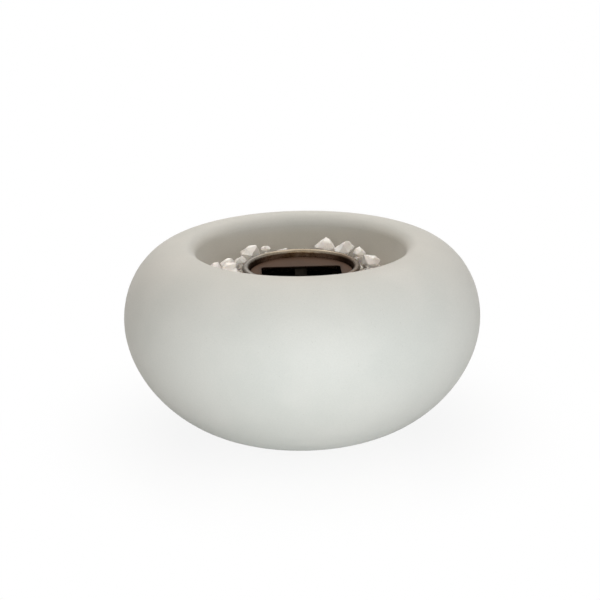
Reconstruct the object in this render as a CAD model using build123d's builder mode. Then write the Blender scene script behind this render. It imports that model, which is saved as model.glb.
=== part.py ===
from build123d import *

import math
import os
import random

# A tabletop fire bowl: a hollow stoneware bowl, a burner that lifts out of its well, and marble chips
# in the ring between the two. Millimetres, +Z up, with the origin on the table under the bowl's middle.
# The burner's mouth is long in X.

# Bowl: heights are above the table, and the ledge's depth is below the crest
bowl_diameter = 300.0
bowl_height = 160.0
equator_height = 97.0
crest_diameter = 197.0
well_diameter = 176.0
ledge_diameter = 168.0
lip_drop = 9.0
foot_diameter = 112.0
foot_ring_width = 14.0
foot_recess = 2.5
bowl_wall = 7.5
ledge_depth = 38.0
pocket_depth = 46.0
well_corner_radius = 3.0
pocket_edge_radius = 2.0
pocket_corner_radius = 3.0
vent_diameter = 3.0
belly_fullness_share = 0.50
shoulder_fullness_share = 0.55
lip_fullness_share = 0.55
corner_wall_share = 0.9

# Foot pads
pad_count = 4
pad_diameter = 11.0
pad_thickness = 2.0
pad_edge = 0.5

# Burner cup: a drawn cup whose rim is rolled outwards
cup_diameter = 90.0
cup_height = 65.0
cup_sheet = 0.8
cup_corner_radius = 5.0
rim_roll_radius = 2.7
stop_bead_height = 4.0
stop_bead_depth = 1.0
pocket_clearance = 0.8

# Cover plate, pressed into the cup until its skirt meets the stop bead
cover_recess = 6.2
cover_sheet = 1.0
cover_skirt = 6.0
cover_edge_radius = 1.6
cover_clearance = 0.1
mouth_length = 67.0
mouth_width = 29.0
mouth_corner_radius = 3.0

# Cross strap, welded under the cover on both sides of the mouth
strap_width = 10.0
strap_sheet = 1.0
strap_drop = 7.0
strap_foot = 8.0
strap_setback = 2.0
strap_slope_run = 9.0
strap_bend_radius = 1.5

# Wick and the perforated gauze that keeps it down
gauze_depth = 15.0
gauze_sheet = 0.8
gauze_rim = 4.0
gauze_hole_diameter = 4.2
gauze_hole_pitch = 7.0
wick_clearance = 0.5

# Marble chips: the bed is poured first, then the chips that are set on top of it, then the last few,
# and a small one stays only where something lies under its middle
chip_length = 18.5
chip_height = 13.0
chip_gap = 0.2
chip_wall_clearance = 0.5
chip_rim_clearance = 0.6
chip_drop_room = 40.0
chip_hold = 1.0
chip_seed = 13
small_seed = 21
bed_count = 50
late_count = 24
small_tries = 60
bed_angles = (0.0, 360.0)
late_angles = (165.0, 350.0)
small_angles = (58.0, 398.0)
pour_tries = 200
bed_sectors = 8
pour_length_shares = (0.74, 1.06)
pour_width_shares = (0.8, 1.0)
pour_height_shares = (0.74, 0.98)
small_length_shares = (0.42, 0.64)
small_height_shares = (0.34, 0.54)
pour_reach_share = 0.8
pour_crown_shares = (0.3, 0.65)
pour_slope_share = 0.3

# Each chip has three rings of corners: height share, reach share and number of corners
base_ring_shares = (0.0, 0.78, 5)
waist_ring_shares = (0.36, 1.0, 6)
crown_corners = 3
crown_slope_share = 0.13
corner_reach_shares = (0.88, 1.0)
corner_turn_share = 0.2
chip_tilt = 9.0

# Chips set on top: degrees round the bowl from +X, then shares of the ring's width, of the chip length and
# of the chip height, and the crown's reach and its lean towards +X as shares of the chip's own half length
set_chip_shares = (
    (68.8, 0.40, 1.18, 1.06, 0.62, 0.18),
    (52.5, 0.40, 1.22, 0.88, 0.15, 0.40),
    (38.0, 0.46, 0.80, 0.62, 0.50, 0.00),
    (17.0, 0.38, 1.10, 0.68, 0.65, -0.10),
    (117.0, 0.40, 0.55, 0.38, 0.55, 0.00),
    (131.0, 0.43, 1.12, 0.98, 0.60, 0.05),
    (146.0, 0.35, 0.75, 0.55, 0.50, 0.05),
    (161.0, 0.46, 0.85, 0.60, 0.50, 0.05),
)
full_turn = 360.0

# One overrun serves every cut
overrun = 1.0

# Sizes that follow from the values above
foot_radius = foot_diameter / 2
well_radius = well_diameter / 2
ledge_radius = ledge_diameter / 2
ledge_height = bowl_height - ledge_depth
pocket_floor = ledge_height - pocket_depth
pocket_radius = cup_diameter / 2 + pocket_clearance
cup_radius = cup_diameter / 2 - cup_sheet
cup_floor = pocket_floor + cup_sheet
rim_top = pocket_floor + cup_height
rim_middle = rim_top - rim_roll_radius
rim_radius = cup_radius + 2 * rim_roll_radius
cover_top = rim_top - cover_recess
cover_under = cover_top - cover_sheet
cover_radius = cup_radius - cover_clearance
stop_bead_top = cover_top - cover_skirt
gauze_top = cover_under - gauze_depth
gauze_under = gauze_top - gauze_sheet
wick_radius = cup_radius - wick_clearance
ring_inner = rim_radius + chip_rim_clearance
ring_outer = ledge_radius - chip_wall_clearance
ring_width = ring_outer - ring_inner

# The two grades of chip: shares of the chip's length and height, and how far out it may lie
large_chips = (pour_length_shares, pour_height_shares, ring_outer)
small_chips = (small_length_shares, small_height_shares, ring_outer - well_corner_radius)

os.makedirs("parts", exist_ok=True)


def write(piece, name):
    """Label a finished piece and write it to its own file."""
    piece.label = name
    export_step(piece, f"parts/{name}.step")


def quarter(start, corner, end, fullness_share):
    """A smooth quarter turn from start to end that leans towards a corner."""
    lead_in = Vector(*start) + (Vector(*corner) - Vector(*start)) * fullness_share
    lead_out = Vector(*end) + (Vector(*corner) - Vector(*end)) * fullness_share
    return Bezier(start, lead_in, lead_out, end)


def bowl_section(inset):
    """Half section of the bowl's outside, or of its hollow when drawn one wall further in."""
    belly = bowl_diameter / 2 - inset
    base = pad_thickness + inset
    crest_radius = crest_diameter / 2
    crest = bowl_height - inset
    wall = well_radius + inset
    wall_foot = ledge_radius + inset
    lip_end = bowl_height - lip_drop
    shelf = ledge_height - inset
    draft_share = (wall - wall_foot) / (lip_end - shelf)
    lip_corner = wall + draft_share * (crest - lip_end)
    pocket = pocket_radius + inset
    floor = pocket_floor - inset
    well_corner = min(well_corner_radius, corner_wall_share * (lip_end - shelf))
    corner_radii = [pocket_corner_radius, pocket_edge_radius, well_corner]
    with BuildSketch(Plane.XZ) as section:
        with BuildLine():
            Line((0, base), (foot_radius, base))
            quarter((foot_radius, base), (belly, base), (belly, equator_height), belly_fullness_share)
            quarter((belly, equator_height), (belly, crest), (crest_radius, crest), shoulder_fullness_share)
            quarter((crest_radius, crest), (lip_corner, crest), (wall, lip_end), lip_fullness_share)
            FilletPolyline(
                (0, floor), (pocket, floor), (pocket, shelf), (wall_foot, shelf), (wall, lip_end),
                radius=corner_radii,
            )
            Line((0, floor), (0, base))
        make_face()
    return section.sketch


# Ceramic bowl: one casting, hollow between its outer wall and its well, with a pinhole vent
with BuildPart() as ceramic_bowl:
    revolve(bowl_section(0), axis=Axis.Z)
    revolve(bowl_section(bowl_wall), axis=Axis.Z, mode=Mode.SUBTRACT)
    with BuildSketch(Plane.XY.offset(pad_thickness)):
        Circle(foot_radius - foot_ring_width)
    extrude(amount=foot_recess, mode=Mode.SUBTRACT)
    with BuildSketch(Plane.XY.offset(pad_thickness)):
        Circle(vent_diameter / 2)
    extrude(amount=bowl_wall + overrun, mode=Mode.SUBTRACT)
write(ceramic_bowl.part, "ceramic_bowl")

# Foot pads, spread round the foot ring
pad_ring_radius = foot_radius - foot_ring_width / 2
for number in range(pad_count):
    pad_angle = full_turn * (number + 0.5) / pad_count
    with BuildPart() as foot_pad:
        with BuildSketch(Plane.XY):
            with PolarLocations(pad_ring_radius, 1, start_angle=pad_angle):
                Circle(pad_diameter / 2)
        extrude(amount=pad_thickness)
        chamfer(foot_pad.faces().sort_by(Axis.Z)[0].edges(), pad_edge)
    write(foot_pad.part, f"foot_pad_{number + 1}")

# Burner cup: floor, wall with a stop bead for the cover, and the rolled rim
with BuildPart() as burner_cup:
    with BuildSketch(Plane.XZ):
        with BuildLine():
            stop_bead_low = stop_bead_top - stop_bead_height
            FilletPolyline(
                (0, cup_floor), (cup_radius, cup_floor), (cup_radius, stop_bead_low),
                radius=cup_corner_radius,
            )
            ThreePointArc(
                (cup_radius, stop_bead_low),
                (cup_radius - stop_bead_depth, stop_bead_low + stop_bead_height / 2),
                (cup_radius, stop_bead_top),
            )
            Line((cup_radius, stop_bead_top), (cup_radius, rim_middle))
            CenterArc((cup_radius + rim_roll_radius, rim_middle), rim_roll_radius, 180, -270)
            offset(amount=cup_sheet, side=Side.RIGHT)
        make_face()
    revolve(axis=Axis.Z)
write(burner_cup.part, "burner_cup")

# Cover plate: a shallow pressed lid with the mouth cut through it
with BuildPart() as cover_plate:
    with BuildSketch(Plane.XZ):
        with BuildLine():
            FilletPolyline(
                (0, cover_top), (cover_radius, cover_top), (cover_radius, stop_bead_top),
                radius=cover_edge_radius,
            )
            offset(amount=cover_sheet, side=Side.RIGHT)
        make_face()
    revolve(axis=Axis.Z)
    with BuildSketch(Plane.XY.offset(cover_top)):
        RectangleRounded(mouth_length, mouth_width, mouth_corner_radius)
    extrude(amount=cover_sheet + overrun, both=True, mode=Mode.SUBTRACT)
write(cover_plate.part, "cover_plate")

# Cross strap: two feet under the cover, two slopes and a flat bridge across the mouth
strap_inner = mouth_width / 2 + strap_setback
strap_outer = strap_inner + strap_foot
strap_bridge = strap_inner - strap_slope_run
strap_low = cover_under - strap_drop
with BuildPart() as cross_strap:
    with BuildSketch(Plane.YZ):
        with BuildLine():
            FilletPolyline(
                (-strap_outer, cover_under), (-strap_inner, cover_under), (-strap_bridge, strap_low),
                (strap_bridge, strap_low), (strap_inner, cover_under), (strap_outer, cover_under),
                radius=strap_bend_radius,
            )
            offset(amount=strap_sheet, side=Side.RIGHT)
        make_face()
    extrude(amount=strap_width / 2, both=True)
write(cross_strap.part, "cross_strap")

# Wick: a wad of wool that fills the cup up to the gauze
with BuildPart() as fibre_wick:
    with BuildSketch(Plane.XY.offset(cup_floor)):
        Circle(wick_radius)
    extrude(amount=gauze_under - cup_floor)
    fillet(fibre_wick.faces().sort_by(Axis.Z)[0].edges(), cup_corner_radius)
write(fibre_wick.part, "fibre_wick")

# Gauze: a perforated disc with a turned-up rim, lying on the wick
hole_rings = int((wick_radius - gauze_sheet - gauze_hole_diameter) / gauze_hole_pitch)
with BuildPart() as wick_gauze:
    with BuildSketch(Plane.XY.offset(gauze_under)):
        Circle(wick_radius)
        Circle(gauze_hole_diameter / 2, mode=Mode.SUBTRACT)
        for ring in range(1, hole_rings + 1):
            with PolarLocations(ring * gauze_hole_pitch, 6 * ring):
                Circle(gauze_hole_diameter / 2, mode=Mode.SUBTRACT)
    extrude(amount=gauze_sheet)
    with BuildSketch(Plane.XY.offset(gauze_under)):
        Circle(wick_radius)
        Circle(wick_radius - gauze_sheet, mode=Mode.SUBTRACT)
    extrude(amount=gauze_rim)
write(wick_gauze.part, "wick_gauze")


def ring_of_corners(dice, level, reach, count):
    """Corners spread unevenly round one level of a chip of unit height and half length."""
    start = dice.uniform(0, full_turn)
    corners = []
    for k in range(count):
        turn = (k + dice.uniform(-corner_turn_share, corner_turn_share)) / count
        angle = math.radians(start + full_turn * turn)
        spread = reach * dice.uniform(*corner_reach_shares)
        corners.append((spread * math.cos(angle), spread * math.sin(angle), level))
    return corners


def chip_corners(dice, length, height, crown_share, lean_share):
    """Corners of one broken chip, about the middle of its waist: a base, a waist and a sloping crown."""
    width = length * dice.uniform(*pour_width_shares)
    unit = ring_of_corners(dice, *base_ring_shares)
    unit += ring_of_corners(dice, *waist_ring_shares)
    for k, (x, y, level) in enumerate(ring_of_corners(dice, 1, crown_share, crown_corners)):
        unit.append((x + lean_share, y, level - k * crown_slope_share))
    waist = waist_ring_shares[0]
    return [(x * length / 2, y * width / 2, (level - waist) * height) for x, y, level in unit]


def pour_spot(dice, reach, angles, lying, outer):
    """The spot where a poured chip would lie lowest, out of a few, with every chip taken as a ball."""
    best_height = None
    for attempt in range(pour_tries):
        radius = dice.uniform(ring_inner + reach, outer - reach)
        spot = Vector(radius, 0, 0).rotate(Axis.Z, dice.uniform(*angles))
        height = 0
        for other, other_reach, solid in lying:
            touch = reach + pour_reach_share * other_reach
            flat = math.hypot(other.X - spot.X, other.Y - spot.Y)
            if flat < touch:
                height = max(height, other.Z + math.sqrt(touch**2 - flat**2))
        if best_height is None or height < best_height:
            best_height = height
            best_spot = spot
    return best_spot


def drop(chip, supports):
    """How far a chip sinks before it lies on the ledge or on the chips under it."""
    headroom = chip.bounding_box().min.Z - ledge_height
    near = Compound(children=supports)
    fallen = 0
    room = min(headroom, chip.distance_to(near)) if supports else headroom
    while room > 2 * chip_gap:
        fallen += room - chip_gap
        room = headroom - fallen
        if supports:
            room = min(room, (Pos(0, 0, -fallen) * chip).distance_to(near))
    return fallen


def lay_chip(dice, corners, spot, turn, reach, lying, outer):
    """Lower a chip at a spot until it lies on something, and return its place."""
    tilt = Vector(dice.uniform(-chip_tilt, chip_tilt), dice.uniform(-chip_tilt, chip_tilt), turn)
    above = Vector(spot.X, spot.Y, ledge_height + chip_drop_room)
    chip = Location(above, tilt) * ConvexPolyhedron(corners)
    ends = [math.hypot(corner.X, corner.Y) for corner in chip.vertices()]
    shift = spot.normalized() * (max(0, ring_inner - min(ends)) - max(0, max(ends) - outer))
    chip = Pos(shift) * chip
    above += shift
    under = []
    for other, other_reach, solid in lying:
        if math.hypot(other.X - above.X, other.Y - above.Y) < reach + other_reach:
            under.append(solid)
    fallen = drop(chip, under)
    rest = above - Vector(0, 0, fallen)
    lying.append((rest, reach, Pos(0, 0, -fallen) * chip))
    return Location(rest, tilt)


def is_held(lying):
    """Whether the chip laid last has the ledge or another chip close under its middle."""
    rest, reach, chip = lying[-1]
    low = Vector(rest.X, rest.Y, chip.bounding_box().min.Z - chip_hold)
    plumb = Edge.make_line(rest, low)
    held = low.Z < ledge_height
    for other, other_reach, solid in lying[:-1]:
        if math.hypot(other.X - rest.X, other.Y - rest.Y) < reach + other_reach:
            held = held or solid.distance_to(plumb) < chip_hold
    return held


def pour_chip(dice, angles, lying, length_shares, height_shares, outer):
    """Pour one chip of chance size and shape, lower near the wall, and return its place and corners."""
    length = chip_length * dice.uniform(*length_shares)
    spot = pour_spot(dice, pour_reach_share * length / 2, angles, lying, outer)
    slope = 1 - pour_slope_share * (spot.length - ring_inner) / ring_width
    height = chip_height * slope * dice.uniform(*height_shares)
    corners = chip_corners(dice, length, height, dice.uniform(*pour_crown_shares), 0)
    place = lay_chip(dice, corners, spot, dice.uniform(0, full_turn), length / 2, lying, outer)
    return place, corners


# Chips in the order in which they are laid: the bed, those set by hand, the last large ones, the small ones
chip_dice = random.Random(chip_seed)
small_dice = random.Random(small_seed)
lying_chips = []
bed_chips = []
top_chips = []
for number in range(bed_count):
    bed_chips.append(pour_chip(chip_dice, bed_angles, lying_chips, *large_chips))
for angle, ring_share, length_share, height_share, *crown_shares in set_chip_shares:
    length = chip_length * length_share
    corners = chip_corners(chip_dice, length, chip_height * height_share, *crown_shares)
    spot = Vector(ring_inner + ring_share * ring_width, 0, 0).rotate(Axis.Z, angle)
    place = lay_chip(chip_dice, corners, spot, 0, length / 2, lying_chips, ring_outer)
    top_chips.append((place, corners))
for number in range(late_count):
    top_chips.append(pour_chip(chip_dice, late_angles, lying_chips, *large_chips))
for number in range(small_tries):
    poured = pour_chip(small_dice, small_angles, lying_chips, *small_chips)
    if is_held(lying_chips):
        bed_chips.append(poured)
    else:
        lying_chips.pop()

# Bed chips and small chips are shared out to one node a sector
sectors = [[] for sector in range(bed_sectors)]
for place, corners in bed_chips:
    turn = math.degrees(math.atan2(place.position.Y, place.position.X)) / full_turn % 1
    sectors[int(turn * bed_sectors)].append((place, corners))
for sector, chips in enumerate(sectors):
    with BuildPart() as stone_bed:
        for place, corners in chips:
            with Locations(place):
                ConvexPolyhedron(corners)
    write(stone_bed.part, f"stone_bed_{sector + 1}")

# Chips on top, a node each
for number, (place, corners) in enumerate(top_chips):
    with BuildPart() as top_stone:
        with Locations(place):
            ConvexPolyhedron(corners)
    write(top_stone.part, f"top_stone_{number + 1:02d}")
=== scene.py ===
import math
import random

import bmesh
import bpy
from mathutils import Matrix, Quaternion, Vector, noise
from mathutils.bvhtree import BVHTree


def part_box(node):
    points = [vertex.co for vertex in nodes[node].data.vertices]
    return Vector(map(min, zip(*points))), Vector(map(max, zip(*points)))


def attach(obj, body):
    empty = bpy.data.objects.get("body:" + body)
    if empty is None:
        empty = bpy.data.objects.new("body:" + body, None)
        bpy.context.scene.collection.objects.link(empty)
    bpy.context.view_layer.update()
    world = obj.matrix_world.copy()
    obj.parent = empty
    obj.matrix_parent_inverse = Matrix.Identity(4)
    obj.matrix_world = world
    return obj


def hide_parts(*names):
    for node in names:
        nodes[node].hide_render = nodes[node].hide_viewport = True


# A tabletop fire bowl: matt stoneware, a heat-tinted steel burner and broken marble chips.
# Metres, in the frame of the solids: +Z up, the origin on the table under the bowl's middle.

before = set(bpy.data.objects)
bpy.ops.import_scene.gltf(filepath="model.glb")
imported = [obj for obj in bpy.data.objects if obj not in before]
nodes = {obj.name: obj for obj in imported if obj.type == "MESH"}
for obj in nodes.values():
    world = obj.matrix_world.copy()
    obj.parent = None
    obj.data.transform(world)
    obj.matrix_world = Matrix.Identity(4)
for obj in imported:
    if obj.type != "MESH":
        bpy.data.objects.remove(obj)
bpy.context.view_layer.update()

# Sizes read from the frame
wick_low, wick_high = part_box("fibre_wick")
cup_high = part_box("burner_cup")[1]
foot_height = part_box("ceramic_bowl")[0].z
cover_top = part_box("cover_plate")[1].z
rim_top = cup_high.z
rim_radius = cup_high.x

# The well at its lip, the ledge in it and the cover's mouth, as the solids have them
well_radius = 0.088
ledge_height = 0.122
mouth_half_length = 0.0335
mouth_half_width = 0.0145

# Where finishes, painted light and painted shade begin and end. Pairs run from one end of a fade to the
# other.
clay_rise = (0.0022, 0.0034)
clay_ragged = 0.0012
# Painted light in the well: its fade, share, sides, lip and foot.
well_light_fade = (-0.003, 0.0005)
well_light_share = 0.6
well_light_sides = (0.045, 0.080)
well_light_lip = 0.005
well_light_foot = 0.010
rim_inside = (0.0032, 0.0024)
rim_below = (0.0028, 0.0014)
rim_over = (0.0030, 0.0012)
# Painted shade on the rim's crown.
rim_crown_shade = (0.0036, 0.0024)
rim_wobble = 0.0006
heat_depth = (0.016, 0.004)
# Painted reflection, painted highlight and painted shade: bronze at +x, the straw band, the wall's dark
# sides.
painted_bronze_reach = (-0.01, 0.03)
painted_highlight_reach = (0.022, 0.042)
olive_shade_reach = (0.024, 0.040)
soot_reach = 0.004
# Painted shade under the cover's top face.
cover_under_shade = (0.0016, 0.0008)

# Where most values of a noise lie, where its middle ones lie, and where the sum of two noises lies
noise_range = (0.3, 0.7)
noise_middle = (0.35, 0.65)
pair_range = (0.7, 1.3)

# Camera, from the photograph's framing: the image is 600 pixels square
image_size = 600
camera_distance = 1.4
camera_elevation = 19.16
camera_azimuth = -2.0
camera_roll = -0.94
focal_pixels = 1644.6
camera_target = Vector((0.0, 0.0, 0.075))
target_pixel = (302.5, 338.5)
sensor_width = 36.0

# Marble chips
chip_seed = 9
chip_cuts = (5, 7)
chip_cut_shares = (0.05, 0.17)
chip_cut_rise = (-0.2, 0.7)
chip_bevel = 0.00035
chip_mesh_edge = 0.0014
chip_dent = 0.0011
chip_dent_scale = 95.0
chip_scallop = 0.00035
chip_scallop_scale = 260.0
chip_grit = 0.00012
chip_grit_scale = 1300.0
chip_sharp_angle = 26.0
chip_flat_angle = 2.0
chip_weld_share = 0.2
chip_mesh_passes = 6
chip_scallop_spread = 1.6
chip_noise_span = 9.0
solid_weld = 0.00001

# Marble crumbs in one layer on the ledge: the ring that they lie in, and how near they come to anything else
crumb_seed = 11
crumb_tries = 4000
crumb_radii = (0.0012, 0.0030)
crumb_ring = (0.0505, 0.0834)
crumb_corners = 12
crumb_height_shares = (0.6, 0.9)
crumb_room_share = 0.8
crumb_sink_share = 0.88

# Wool in the burner: the wad, whose lumps are a fractal of given exponent, step and octaves, and its strands
wool_seed = 3
wool_rings = 26
wool_sides = 72
wool_lump = 0.0016
wool_lump_scale = 130.0
wool_margin = 0.0002
wool_edge = 0.006
wool_top_share = 0.9
wool_corner_steps = 6
wool_wall_steps = 8
wool_fractal = (1.0, 2.0, 4)
strand_count = 700
strand_radius = 0.00016
strand_lengths = (0.007, 0.018)
strand_points = 7
strand_sides = 4
strand_bend = 90.0
strand_sink_share = 0.7
strand_arch_share = 0.6

# Studio: a white floor with painted shade beside the bowl, a faint even surround, and softboxes given by
# place, width, height, watts and tint
floor_size = 8.0
floor_white = (0.06, 0.26)
floor_white_shares = (0.885, 1.0)
# Painted shade on the floor beside the bowl: at its sides and in a ring.
floor_shade_sides = (0.05, 0.13)
floor_shade_ring = (0.14, 0.30)
surround_strength = 0.168
lamp_aim = Vector((0.0, 0.0, 0.09))
lamps = (
    ("top_softbox", (0.0, 0.0, 2.2), 2.4, 2.4, 25.8, (1.0, 0.92, 0.86)),
    ("back_softbox", (0.0, 1.4, 1.8), 2.4, 1.6, 25.8, (0.97, 1.0, 0.97)),
    ("front_low_softbox", (0.18, -1.8, 0.17), 1.3, 0.3, 22.2, (0.80, 0.91, 1.0)),
    ("front_softbox", (0.0, -2.2, 0.8), 2.0, 0.8, 7.4, (1.0, 0.98, 0.78)),
    ("right_softbox", (2.2, -0.3, 0.6), 1.4, 1.0, 3.2, (0.82, 0.92, 1.0)),
)


def colour(red, green, blue):
    """A colour written in the 0 to 255 steps of a screen, as the linear values that a shader takes."""
    linear = []
    for step in (red, green, blue):
        value = step / 255
        linear.append(value / 12.92 if value <= 0.04045 else ((value + 0.055) / 1.055) ** 2.4)
    return (*linear, 1.0)


class Shader:
    """A material whose nodes are added and linked by short calls."""

    def __init__(self, name):
        self.material = bpy.data.materials.new(name)
        self.material.use_nodes = True
        self.tree = self.material.node_tree
        self.tree.nodes.clear()
        self.output = self.node("ShaderNodeOutputMaterial")
        self.place = self.node("ShaderNodeTexCoord").outputs["Object"]

    def node(self, kind, inputs=None, **settings):
        made = self.tree.nodes.new(kind)
        for key, value in settings.items():
            setattr(made, key, value)
        for key, value in (inputs or {}).items():
            self.feed(made.inputs[key], value)
        return made

    def feed(self, socket, value):
        if isinstance(value, bpy.types.NodeSocket):
            self.tree.links.new(value, socket)
        else:
            socket.default_value = value

    def principled(self, **inputs):
        """The surface itself. Input names have underscores for spaces."""
        values = {key.replace("_", " "): value for key, value in inputs.items()}
        surface = self.node("ShaderNodeBsdfPrincipled", values)
        self.feed(self.output.inputs["Surface"], surface.outputs["BSDF"])
        return self.material

    def noise(self, scale, detail=2.0, rough=0.5, at=None):
        inputs = {"Vector": at or self.place, "Scale": scale, "Detail": detail, "Roughness": rough}
        return self.node("ShaderNodeTexNoise", inputs).outputs["Fac"]

    def cells(self, scale, output="Distance", feature="F1"):
        inputs = {"Vector": self.place, "Scale": scale}
        return self.node("ShaderNodeTexVoronoi", inputs, feature=feature).outputs[output]

    def span(self, value, low, high, to_low=0.0, to_high=1.0, smooth=True):
        """Maps value from low..high to to_low..to_high, held at both ends."""
        kind = "SMOOTHSTEP" if smooth else "LINEAR"
        inputs = {"Value": value, "From Min": low, "From Max": high, "To Min": to_low, "To Max": to_high}
        return self.node("ShaderNodeMapRange", inputs, interpolation_type=kind).outputs["Result"]

    def sum(self, operation, first, second=0.0):
        made = self.node("ShaderNodeMath", operation=operation)
        self.feed(made.inputs[0], first)
        self.feed(made.inputs[1], second)
        return made.outputs[0]

    def blend(self, share, first, second, kind="MIX"):
        made = self.node("ShaderNodeMix", data_type="RGBA", blend_type=kind)
        self.feed(made.inputs[0], share)
        self.feed(made.inputs[6], first)
        self.feed(made.inputs[7], second)
        return made.outputs[2]

    def bump(self, height, distance, strength=1.0, under=None):
        inputs = {"Height": height, "Distance": distance, "Strength": strength}
        if under:
            inputs["Normal"] = under
        return self.node("ShaderNodeBump", inputs).outputs["Normal"]

    def axes(self, names):
        """Those of X, Y and Z that are named, at the place in the frame."""
        outputs = self.node("ShaderNodeSeparateXYZ", {"Vector": self.place}).outputs
        return [outputs[name] for name in names]

    def radius(self):
        """Distance from the bowl's axis."""
        x, y = self.axes("XY")
        squares = self.sum("ADD", self.sum("MULTIPLY", x, x), self.sum("MULTIPLY", y, y))
        return self.sum("SQRT", squares)

    def turning_marks(self, scale, streak=0.004, detail=3.0):
        """Fine lines round the bowl's axis, as a lathe or a spinning brush leaves them."""
        x, y, z = self.axes("XYZ")
        reach = self.radius()
        across = self.sum("MULTIPLY", self.sum("DIVIDE", x, reach), streak)
        along = self.sum("MULTIPLY", self.sum("DIVIDE", y, reach), streak)
        inputs = {"X": across, "Y": along, "Z": reach}
        at = self.node("ShaderNodeCombineXYZ", inputs).outputs["Vector"]
        inputs = {"Vector": at, "W": z, "Scale": scale, "Detail": detail}
        return self.node("ShaderNodeTexNoise", inputs, noise_dimensions="4D").outputs["Fac"]


def stoneware():
    """Matt cream-grey glaze with faint clouds and specks; painted light makes it lighter in the well, most at
    the well's left and right; the foot ring is bare clay.
    """
    m = Shader("stoneware_glaze")
    x, z = m.axes("XZ")
    cloud = m.span(m.noise(14.0, 3.0), *noise_middle)
    glaze = m.blend(cloud, colour(197, 195, 189), colour(202, 199, 193))
    # Painted light: the lighter lining glaze stands in for light in the well.
    well_painted_light = m.blend(cloud, colour(209, 206, 198), colour(214, 210, 202))
    fade_low, fade_high = well_light_fade
    deep_light = m.span(m.radius(), well_radius + fade_low, well_radius + fade_high, well_light_share, 0.0)
    beside_light = m.span(m.sum("ABSOLUTE", x), *well_light_sides)
    beside_light = m.sum("MULTIPLY", beside_light, m.span(m.radius(), well_radius, well_radius + well_light_lip, 1.0, 0.0))
    raised = m.span(z, ledge_height - well_light_foot, ledge_height)
    painted_light_mask = m.sum("MULTIPLY", m.sum("MAXIMUM", deep_light, beside_light), raised)
    glaze = m.blend(painted_light_mask, glaze, well_painted_light)
    grain = m.span(m.noise(950.0, 2.0), *noise_range, 0.965, 1.0)
    grain_tone = m.node("ShaderNodeCombineColor", {"Red": grain, "Green": grain, "Blue": grain}).outputs[0]
    glaze = m.blend(1.0, glaze, grain_tone, "MULTIPLY")
    speck = m.span(m.cells(330.0), 0.05, 0.13, 0.35, 0.0)
    speck = m.sum("MULTIPLY", speck, m.span(m.noise(90.0, 1.0), 0.5, 0.62))
    glaze = m.blend(speck, glaze, colour(146, 135, 120))
    ragged = m.sum("ADD", z, m.span(m.noise(160.0, 3.0), *noise_range, -clay_ragged, clay_ragged))
    clay_full, clay_end = clay_rise
    bare = m.span(ragged, foot_height + clay_full, foot_height + clay_end, 1.0, 0.0)
    sand = m.noise(1800.0, 3.0)
    clay = m.blend(m.span(sand, *noise_middle), colour(186, 172, 152), colour(208, 196, 178))
    skin = m.blend(bare, glaze, clay)
    satin = m.span(m.noise(420.0, 2.0), *noise_range, 0.60, 0.70)
    rough = m.sum("MAXIMUM", satin, m.sum("MULTIPLY", bare, 0.9))
    peel = m.bump(m.noise(210.0, 2.0), 0.0002, 0.25)
    fine = m.bump(m.noise(1500.0, 3.0), 0.00006, 0.5, peel)
    normal = m.bump(m.sum("MULTIPLY", sand, bare), 0.0002, 0.8, fine)
    return m.principled(Base_Color=skin, Roughness=rough, Normal=normal, Specular_IOR_Level=0.3)


def burner_steel():
    """Spun stainless steel, browned by the heat on its inside. Over the rolled rim a straw band is a painted
    highlight under a crown of painted shade, the bronze towards +x is heat tint laid on that side only as a
    painted reflection, and the wall under the rim is darkened at its sides with painted shade.
    """
    m = Shader("burner_spun_steel")
    x, z = m.axes("XZ")
    lines = m.turning_marks(2600.0)
    patch = m.noise(46.0, 3.0, 0.6)
    wobble = m.span(patch, *noise_range, -rim_wobble, rim_wobble)
    inside = m.span(m.radius(), rim_radius - rim_inside[0], rim_radius - rim_inside[1], 1.0, 0.0)
    below = m.span(m.sum("ADD", z, wobble), rim_top - rim_below[0], rim_top - rim_below[1], 1.0, 0.0)
    high = m.span(z, cover_top - heat_depth[0], cover_top - heat_depth[1])
    steel = m.blend(m.span(lines, *noise_range), colour(98, 91, 84), colour(114, 107, 99))
    # Painted reflection: bronze towards +x only, heat tint on one side.
    painted_right_bronze = m.blend(m.span(lines, *noise_range), colour(74, 58, 44), colour(88, 72, 56))
    side = m.blend(m.span(m.sum("ADD", x, wobble), *painted_bronze_reach), steel, painted_right_bronze)
    # Painted highlight: the straw band on the rim, darkened at its crown with painted shade.
    straw_painted_highlight = m.blend(m.span(patch, 0.38, 0.62), colour(107, 97, 82), colour(128, 118, 104))
    crown_painted_shade = m.sum("ADD", m.radius(), wobble)
    crown_painted_shade = m.span(crown_painted_shade, rim_radius - rim_crown_shade[0], rim_radius - rim_crown_shade[1])
    straw_painted_highlight = m.blend(crown_painted_shade, straw_painted_highlight, colour(93, 81, 67))
    rim = m.blend(m.span(m.sum("ABSOLUTE", x), *painted_highlight_reach), straw_painted_highlight, side)
    # Painted shade: the wall under the rim turns dark towards its left and right.
    olive = m.blend(m.span(patch, 0.42, 0.58), colour(130, 107, 82), colour(166, 147, 129))
    wall_with_shaded_sides = m.blend(m.span(m.sum("ABSOLUTE", x), *olive_shade_reach), olive, colour(62, 51, 42))
    rim = m.blend(below, rim, wall_with_shaded_sides)
    tone = m.blend(m.sum("MULTIPLY", inside, high), side, rim)
    tone = m.blend(m.span(z, rim_top - rim_over[0], rim_top - rim_over[1]), tone, rim)
    rough = m.span(m.sum("ADD", lines, m.noise(500.0, 2.0)), *pair_range, 0.24, 0.40)
    normal = m.bump(lines, 0.00002, 0.6)
    tangent = m.node("ShaderNodeTangent", direction_type="RADIAL", axis="Z").outputs["Tangent"]
    return m.principled(Base_Color=tone, Metallic=1.0, Roughness=rough, Normal=normal,
                        Anisotropic=0.5, Tangent=tangent)


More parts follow.
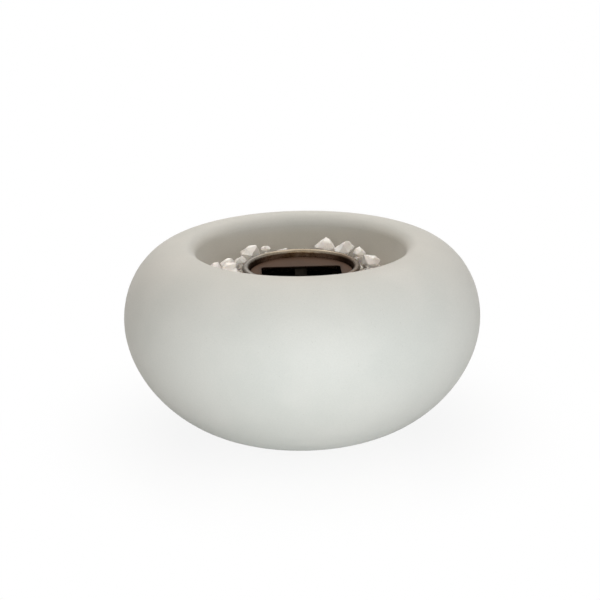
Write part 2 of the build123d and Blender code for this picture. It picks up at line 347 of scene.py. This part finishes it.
def cover_steel():
    """The cover: steel browned all over by the flame, darkest at the mouth; below its top face it is darkened
    with painted shade.
    """
    m = Shader("cover_browned_steel")
    x, y, z = m.axes("XYZ")
    lines = m.turning_marks(1900.0, 0.006)
    patch = m.noise(60.0, 4.0, 0.6)
    brown = m.blend(m.span(patch, *noise_middle), colour(60, 44, 35), colour(72, 54, 44))
    brown = m.blend(m.span(lines, 0.35, 0.7, 0.0, 0.35), brown, colour(84, 66, 53))
    soot_edge = m.span(m.sum("ABSOLUTE", y), mouth_half_width, mouth_half_width + soot_reach, 0.5, 0.0)
    in_length = m.span(m.sum("ABSOLUTE", x), mouth_half_length, mouth_half_length + soot_reach, 1.0, 0.0)
    soot = m.sum("MULTIPLY", soot_edge, m.sum("MULTIPLY", in_length, m.span(patch, 0.25, 0.6, 0.4, 1.0)))
    tone = m.blend(soot, brown, colour(36, 29, 25))
    # Painted shade: dark brown below the cover's top face.
    under = m.span(z, cover_top - cover_under_shade[0], cover_top - cover_under_shade[1], 1.0, 0.0)
    tone = m.blend(under, tone, colour(30, 25, 22))
    rough = m.span(m.sum("ADD", lines, patch), *pair_range, 0.42, 0.58)
    normal = m.bump(lines, 0.00003, 0.5)
    normal = m.bump(patch, 0.0002, 0.15, normal)
    tangent = m.node("ShaderNodeTangent", direction_type="RADIAL", axis="Z").outputs["Tangent"]
    return m.principled(Base_Color=tone, Metallic=0.2, Roughness=rough, Normal=normal,
                        Specular_IOR_Level=0.08, Specular_Tint=(0.6, 0.45, 0.35, 1.0),
                        Anisotropic=0.4, Tangent=tangent)


def sooty_shaded_steel(name, dark, light):
    """Steel inside the burner, dulled by soot in uneven patches and darkened to near black with painted
    shade.
    """
    m = Shader(name)
    patch = m.noise(140.0, 4.0, 0.65)
    dust = m.noise(1600.0, 2.0)
    tone = m.blend(m.span(patch, 0.35, 0.68), dark, light)
    tone = m.blend(m.span(dust, 0.4, 0.75, 0.0, 0.5), tone, dark)
    rough = m.span(m.sum("ADD", patch, dust), *pair_range, 0.9, 0.7)
    normal = m.bump(dust, 0.00008, 0.5)
    return m.principled(Base_Color=tone, Roughness=rough, Normal=normal, Specular_IOR_Level=0.05)


def ceramic_wool():
    """Off-white mineral wool, greyed and scorched in patches."""
    m = Shader("wick_wool")
    tuft = m.noise(420.0, 5.0, 0.7)
    scorch = m.span(m.noise(60.0, 3.0, 0.6), 0.42, 0.62)
    wool = m.blend(m.span(tuft, *noise_range), colour(150, 143, 132), colour(206, 200, 189))
    wool = m.blend(m.sum("MULTIPLY", scorch, 0.75), wool, colour(64, 57, 51))
    rough = m.span(tuft, *noise_range, 0.85, 1.0)
    normal = m.bump(m.noise(1500.0, 4.0, 0.7), 0.0004, 0.8)
    return m.principled(Base_Color=wool, Roughness=rough, Normal=normal, Sheen_Weight=0.3)


def marble():
    """White marble, broken: sugary crystals, faint rose and grey clouds, a few thin veins."""
    m = Shader("marble_broken")
    island = m.node("ShaderNodeNewGeometry").outputs["Random Per Island"]
    whole = m.blend(island, colour(244, 239, 234), colour(252, 250, 247))
    cloud = m.span(m.noise(120.0, 4.0, 0.6), 0.38, 0.66)
    tone = m.blend(m.sum("MULTIPLY", cloud, 0.4), whole, colour(240, 231, 226))
    vein = m.sum("ABSOLUTE", m.sum("SUBTRACT", m.noise(70.0, 6.0, 0.65), 0.5))
    vein = m.span(vein, 0.0, 0.022, 0.4, 0.0)
    tone = m.blend(vein, tone, colour(206, 199, 195))
    crystal = m.cells(1300.0, "Color")
    glint = m.node("ShaderNodeSeparateColor", {"Color": crystal}).outputs[0]
    rough = m.span(glint, 0.0, 1.0, 0.30, 0.62, smooth=False)
    sugar = m.bump(m.cells(1100.0), 0.00012, 0.35)
    normal = m.bump(m.noise(2600.0, 3.0), 0.00005, 0.4, sugar)
    return m.principled(Base_Color=tone, Roughness=rough, Normal=normal, IOR=1.49,
                        Subsurface_Weight=0.12, Subsurface_Radius=(0.004, 0.003, 0.002),
                        Subsurface_Scale=0.5)


def pad_rubber():
    """Soft clear-grey rubber, a little dusty."""
    m = Shader("pad_rubber")
    dust = m.noise(900.0, 3.0)
    tone = m.blend(m.span(dust, 0.35, 0.7), colour(92, 91, 88), colour(120, 118, 113))
    rough = m.span(m.noise(300.0, 2.0), *noise_range, 0.55, 0.75)
    return m.principled(Base_Color=tone, Roughness=rough, Normal=m.bump(dust, 0.00008, 0.4))


def new_piece(name, mesh_data, material, body, node=None):
    """Shows a mesh that moves with a body, in place of a solid of the frame where one is named."""
    piece = bpy.data.objects.new(name, mesh_data)
    bpy.context.scene.collection.objects.link(piece)
    mesh_data.materials.append(material)
    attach(piece, body)
    if node:
        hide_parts(node)
    return piece


def solids_of(node):
    """The corners of each separate solid in a node."""
    work = bmesh.new()
    work.from_mesh(nodes[node].data)
    bmesh.ops.remove_doubles(work, verts=work.verts, dist=solid_weld)
    left = set(work.verts)
    found = []
    while left:
        first = min(left, key=lambda v: v.index)
        reached = {first}
        edge = [first]
        while edge:
            here = edge.pop()
            for link in here.link_edges:
                other = link.other_vert(here)
                if other not in reached:
                    reached.add(other)
                    edge.append(other)
        left -= reached
        found.append([v.co.copy() for v in sorted(reached, key=lambda v: v.index)])
    work.free()
    return found


def hull(points):
    """A closed mesh round the points, with its corners and faces always in the same order."""
    shell = bmesh.new()
    for point in points:
        shell.verts.new(point)
    found = bmesh.ops.convex_hull(shell, input=shell.verts)
    spare = set(found["geom_interior"] + found["geom_unused"])
    bmesh.ops.delete(shell, geom=[v for v in spare if isinstance(v, bmesh.types.BMVert)], context="VERTS")
    corners = sorted({tuple(v.co) for v in shell.verts})
    order = {corner: k for k, corner in enumerate(corners)}
    loops = []
    for face in shell.faces:
        loop = [order[tuple(v.co)] for v in face.verts]
        first = loop.index(min(loop))
        loops.append(loop[first:] + loop[:first])
    shell.free()
    made = bmesh.new()
    verts = [made.verts.new(corner) for corner in corners]
    for loop in sorted(loops):
        made.faces.new([verts[k] for k in loop])
    made.normal_update()
    return made


def break_chip(corners, dice):
    """One chip: its corners and edges knocked off by a few flat breaks, then crisped and roughened."""
    centre = sum(corners, Vector()) / len(corners)
    size = max((corner - centre).length for corner in corners)
    points = corners
    for _ in range(dice.randint(*chip_cuts)):
        rise = dice.uniform(*chip_cut_rise)
        turn = dice.uniform(0, math.tau)
        level = math.sqrt(1 - rise**2)
        away = Vector((level * math.cos(turn), level * math.sin(turn), rise))
        reach = max((point - centre).dot(away) for point in points)
        depth = size * dice.uniform(*chip_cut_shares)
        work = hull(points)
        geometry = work.verts[:] + work.edges[:] + work.faces[:]
        bmesh.ops.bisect_plane(work, geom=geometry, plane_co=centre + away * (reach - depth),
                               plane_no=away, clear_outer=True)
        points = sorted((v.co.copy() for v in work.verts), key=tuple)
        work.free()
    chip = hull(points)
    bmesh.ops.dissolve_limit(chip, angle_limit=math.radians(chip_flat_angle), verts=chip.verts,
                             edges=chip.edges)
    bmesh.ops.bevel(chip, geom=chip.edges[:], offset=chip_bevel, segments=1, profile=0.5,
                    affect="EDGES", clamp_overlap=True)
    bmesh.ops.remove_doubles(chip, verts=chip.verts, dist=chip_bevel * chip_weld_share)
    bmesh.ops.triangulate(chip, faces=chip.faces[:])
    for _ in range(chip_mesh_passes):
        long_edges = [edge for edge in chip.edges if edge.calc_length() > chip_mesh_edge]
        if not long_edges:
            break
        bmesh.ops.subdivide_edges(chip, edges=long_edges, cuts=1)
        bmesh.ops.triangulate(chip, faces=chip.faces[:])
    roughen(chip, Vector([dice.uniform(0, chip_noise_span) for _ in range(3)]))
    return chip


def roughen(chip, offset):
    """Shell-like hollows and grit on the broken faces, cut inwards so that a chip stays in its place."""
    chip.normal_update()
    moves = []
    for v in chip.verts:
        place = v.co + offset
        near = noise.voronoi(place * chip_scallop_scale)[0]
        hollow = chip_scallop * (1 - min(1, near[0] * chip_scallop_spread))
        grit = chip_grit * noise.noise(place * chip_grit_scale)
        dent = chip_dent * max(0, noise.noise(place * chip_dent_scale))
        moves.append(v.normal * (grit - hollow - dent - chip_grit))
    for v, move in zip(chip.verts, moves):
        v.co += move


def join(whole, part):
    """Moves all of one mesh into another."""
    held = bpy.data.meshes.new("part")
    part.to_mesh(held)
    part.free()
    whole.from_mesh(held)
    bpy.data.meshes.remove(held)


def marble_chips(material):
    """Every stone node gets its chips, broken out of the node's own solids. Returns the pieces."""
    dice = random.Random(chip_seed)
    chips = []
    for node in sorted(name for name in nodes if name.startswith(("stone_bed", "top_stone"))):
        mesh = bpy.data.meshes.new("marble_" + node)
        whole = bmesh.new()
        for corners in solids_of(node):
            join(whole, break_chip(corners, dice))
        whole.to_mesh(mesh)
        whole.free()
        mesh.shade_smooth()
        mesh.set_sharp_from_angle(angle=math.radians(chip_sharp_angle))
        chips.append(new_piece("marble_" + node, mesh, material, "bowl", node))
    return chips


def marble_crumbs(chips, material):
    """Crumbs from the breaking, lying on the ledge wherever the chips leave room."""
    dice = random.Random(crumb_seed)
    around = bmesh.new()
    for chip in chips:
        around.from_mesh(chip.data)
    tree = BVHTree.FromBMesh(around)
    around.free()
    whole = bmesh.new()
    laid = []
    for _ in range(crumb_tries):
        size = dice.uniform(*crumb_radii)
        reach = dice.uniform(crumb_ring[0] + size, crumb_ring[1] - size)
        turn = dice.uniform(0, math.tau)
        half_height = size * dice.uniform(*crumb_height_shares)
        level = ledge_height + half_height * crumb_sink_share
        place = Vector((reach * math.cos(turn), reach * math.sin(turn), level))
        corners = []
        for _ in range(crumb_corners):
            out = Vector((dice.gauss(0, 1), dice.gauss(0, 1), dice.gauss(0, 1))).normalized()
            corners.append(place + Vector((out.x * size, out.y * size, out.z * half_height)))
        spot, facing, _, gap = tree.find_nearest(place)
        if gap < crumb_room_share * size or (place - spot).dot(facing) < 0:
            continue
        if any((place - other).length < crumb_room_share * (size + other_size) for other, other_size in laid):
            continue
        laid.append((place, size))
        join(whole, hull(corners))
    mesh = bpy.data.meshes.new("marble_crumbs")
    bmesh.ops.recalc_face_normals(whole, faces=whole.faces)
    whole.to_mesh(mesh)
    whole.free()
    new_piece("marble_crumbs", mesh, material, "bowl")


def add_tube(work, points, radius, sides):
    """A thin closed tube along some points, added to a mesh."""
    rings = []
    for k, point in enumerate(points):
        ahead = points[min(k + 1, len(points) - 1)] - points[max(k - 1, 0)]
        side = ahead.cross(Vector((0, 0, 1)))
        side = side.normalized() if side.length > 0 else Vector((1, 0, 0))
        lift = side.cross(ahead).normalized()
        ring = []
        for s in range(sides):
            turn = math.tau * s / sides
            ring.append(work.verts.new(point + radius * (side * math.cos(turn) + lift * math.sin(turn))))
        rings.append(ring)
    for lower, upper in zip(rings, rings[1:]):
        for s in range(sides):
            t = (s + 1) % sides
            work.faces.new((lower[s], lower[t], upper[t], upper[s]))
    work.faces.new(list(reversed(rings[0])))
    work.faces.new(rings[-1])


def wool_outline(wide, low, high):
    """The wad's half section, from the middle of its top to the middle of its underside."""
    corner_radius = wide - wool_edge
    upper = high - wool_edge
    lower = low + wool_edge
    outline = []
    for k in range(wool_rings + 1):
        outline.append((wide * wool_top_share * k / wool_rings, high))
    for k in range(1, wool_corner_steps + 1):
        turn = math.pi / 2 * k / wool_corner_steps
        outline.append((corner_radius + wool_edge * math.sin(turn), upper + wool_edge * math.cos(turn)))
    for k in range(1, wool_wall_steps + 1):
        outline.append((wide, upper + (lower - upper) * k / wool_wall_steps))
    for k in range(1, wool_corner_steps + 1):
        turn = math.pi / 2 * k / wool_corner_steps
        outline.append((corner_radius + wool_edge * math.cos(turn), lower - wool_edge * math.sin(turn)))
    outline.append((0, low))
    return outline


def turn_round(work, outline, sides):
    """Turns a half section round the bowl's axis, into a mesh."""
    rings = []
    for radius, z in outline:
        if radius == 0:
            rings.append([work.verts.new((0, 0, z))])
            continue
        ring = []
        for s in range(sides):
            turn = math.tau * s / sides
            ring.append(work.verts.new((radius * math.cos(turn), radius * math.sin(turn), z)))
        rings.append(ring)
    for inner, outer in zip(rings, rings[1:]):
        for s in range(sides):
            t = (s + 1) % sides
            if len(inner) == 1:
                work.faces.new((inner[0], outer[s], outer[t]))
            elif len(outer) == 1:
                work.faces.new((inner[s], outer[0], inner[t]))
            else:
                work.faces.new((inner[s], outer[s], outer[t], inner[t]))


def add_strands(work, wide, high):
    """Loose strands of wool that lie on the wad's top, each an arch with both ends in the wool."""
    dice = random.Random(wool_seed)
    for _ in range(strand_count):
        reach = (wide - wool_edge) * math.sqrt(dice.random())
        turn = dice.uniform(0, math.tau)
        heading = dice.uniform(0, math.tau)
        bend = dice.uniform(-strand_bend, strand_bend)
        length = dice.uniform(*strand_lengths)
        level = high - dice.uniform(0.0, strand_sink_share) * wool_lump
        at = Vector((reach * math.cos(turn), reach * math.sin(turn), level))
        points = []
        for k in range(strand_points):
            at = at + Vector((math.cos(heading), math.sin(heading), 0)) * length / strand_points
            heading += bend * length / strand_points
            if math.hypot(at.x, at.y) > wide - strand_radius:
                break
            arch = math.sin(math.pi * k / (strand_points - 1))
            dip = (1 - arch) * wool_lump * strand_arch_share + strand_radius
            points.append(at - Vector((0, 0, dip)))
        if len(points) > 2:
            add_tube(work, points, strand_radius, strand_sides)


def wool_wad(material):
    """The wick: a packed wad of mineral wool, lumpy on top, with loose strands lying on it."""
    wide = wick_high.x - wool_margin
    high = wick_high.z - wool_margin
    work = bmesh.new()
    turn_round(work, wool_outline(wide, wick_low.z, high), wool_sides)
    work.normal_update()
    for v in work.verts:
        lump = noise.fractal(v.co * wool_lump_scale, *wool_fractal)
        v.co -= v.normal * wool_lump * (0.5 + 0.5 * max(-1, min(1, lump)))
    add_strands(work, wide, high)
    mesh = bpy.data.meshes.new("wick_wool_wad")
    bmesh.ops.recalc_face_normals(work, faces=work.faces)
    work.to_mesh(mesh)
    work.free()
    mesh.shade_smooth()
    wad = new_piece("wick_wool_wad", mesh, material, "burner", "fibre_wick")


def dress(node, material):
    """Gives a solid of the frame its finish."""
    held = nodes[node].data.materials
    held.clear()
    held.append(material)


def studio_floor():
    """A white floor that keeps a soft shadow; beside the bowl its paper is darkened with painted shade, so
    that it throws less light back onto the bowl.
    """
    bpy.ops.mesh.primitive_plane_add(size=floor_size)
    floor = bpy.context.object
    floor.name = "studio_floor"
    m = Shader("studio_floor")
    rays = m.node("ShaderNodeLightPath").outputs
    seen = m.sum("MAXIMUM", rays["Is Camera Ray"], rays["Is Glossy Ray"])
    seen = m.sum("MAXIMUM", seen, rays["Is Transmission Ray"])
    far = m.span(m.radius(), *floor_white, *floor_white_shares)
    across = m.axes("X")[0]
    ahead = m.span(m.sum("ABSOLUTE", across), *floor_shade_sides, 1.0, 0.0)
    clear = m.sum("MAXIMUM", ahead, m.span(m.radius(), *floor_shade_ring))
    # Painted shade: darker paper beside the bowl.
    tone = m.blend(clear, colour(178, 178, 176), colour(249, 249, 247))
    paper = m.node("ShaderNodeBsdfDiffuse", {"Color": tone}).outputs[0]
    white = m.node("ShaderNodeEmission", {"Color": (1, 1, 1, 1), "Strength": 1.0}).outputs[0]
    share = m.sum("MULTIPLY", seen, far)
    made = m.node("ShaderNodeMixShader", {0: share, 1: paper, 2: white})
    m.feed(m.output.inputs["Surface"], made.outputs[0])
    floor.data.materials.append(m.material)


def studio_surround():
    """A faint even light from all round that is seen as plain white."""
    world = bpy.data.worlds.new("studio")
    bpy.context.scene.world = world
    world.use_nodes = True
    tree = world.node_tree
    tree.nodes.clear()
    rays = tree.nodes.new("ShaderNodeLightPath").outputs
    seen = rays["Is Camera Ray"]
    for name in ("Is Glossy Ray", "Is Transmission Ray"):
        either = tree.nodes.new("ShaderNodeMath")
        either.operation = "MAXIMUM"
        tree.links.new(seen, either.inputs[0])
        tree.links.new(rays[name], either.inputs[1])
        seen = either.outputs[0]
    soft = tree.nodes.new("ShaderNodeBackground")
    soft.inputs["Color"].default_value = (1, 1, 1, 1)
    soft.inputs["Strength"].default_value = surround_strength
    white = tree.nodes.new("ShaderNodeBackground")
    white.inputs["Strength"].default_value = 1.0
    white.inputs["Color"].default_value = (1, 1, 1, 1)
    mix = tree.nodes.new("ShaderNodeMixShader")
    tree.links.new(seen, mix.inputs[0])
    tree.links.new(soft.outputs[0], mix.inputs[1])
    tree.links.new(white.outputs[0], mix.inputs[2])
    surround = tree.nodes.new("ShaderNodeOutputWorld")
    tree.links.new(mix.outputs[0], surround.inputs["Surface"])


def lamp(name, place, width, height, power, tint):
    """A flat soft light, turned to the bowl and left out of the picture itself."""
    light = bpy.data.lights.new(name, "AREA")
    light.shape = "RECTANGLE"
    light.size = width
    light.size_y = height
    light.energy = power
    light.color = tint
    holder = bpy.data.objects.new(name, light)
    bpy.context.scene.collection.objects.link(holder)
    holder.location = place
    holder.rotation_mode = "QUATERNION"
    holder.rotation_quaternion = (lamp_aim - Vector(place)).to_track_quat("-Z", "Y")
    holder.visible_camera = False


def photograph_camera():
    """The camera where the photograph was taken, aimed so that the bowl falls on the same pixels."""
    lens = bpy.data.cameras.new("camera")
    lens.sensor_width = sensor_width
    lens.lens = focal_pixels / image_size * sensor_width
    holder = bpy.data.objects.new("camera", lens)
    bpy.context.scene.collection.objects.link(holder)
    turn = math.radians(camera_azimuth)
    rise = math.radians(camera_elevation)
    back = Vector((math.sin(turn) * math.cos(rise), -math.cos(turn) * math.cos(rise), math.sin(rise)))
    holder.location = camera_target + back * camera_distance
    facing = (-back).to_track_quat("-Z", "Y") @ Quaternion((0, 0, 1), math.radians(camera_roll))
    off_right = (target_pixel[0] - image_size / 2) / focal_pixels
    off_down = (target_pixel[1] - image_size / 2) / focal_pixels
    aim = Vector((-off_right, off_down, -1.0)).normalized()
    swing = Vector((0, 0, -1)).rotation_difference(aim)
    holder.rotation_mode = "QUATERNION"
    holder.rotation_quaternion = facing @ swing
    bpy.context.scene.camera = holder


bpy.context.scene.view_settings.view_transform = "Standard"

dress("ceramic_bowl", stoneware())
dress("burner_cup", burner_steel())
dress("cover_plate", cover_steel())
# Painted shade: the strap and gauze are near black, darker than their soot alone.
dress("cross_strap", sooty_shaded_steel("strap_sooted_shaded_steel", colour(16, 14, 11), colour(34, 30, 25)))
dress("wick_gauze", sooty_shaded_steel("gauze_sooted_shaded_steel", colour(9, 8, 8), colour(24, 22, 20)))
rubber = pad_rubber()
for name in sorted(nodes):
    if name.startswith("foot_pad"):
        dress(name, rubber)
white_marble = marble()
marble_crumbs(marble_chips(white_marble), white_marble)
wool_wad(ceramic_wool())
studio_floor()
studio_surround()
for settings in lamps:
    lamp(*settings)
photograph_camera()
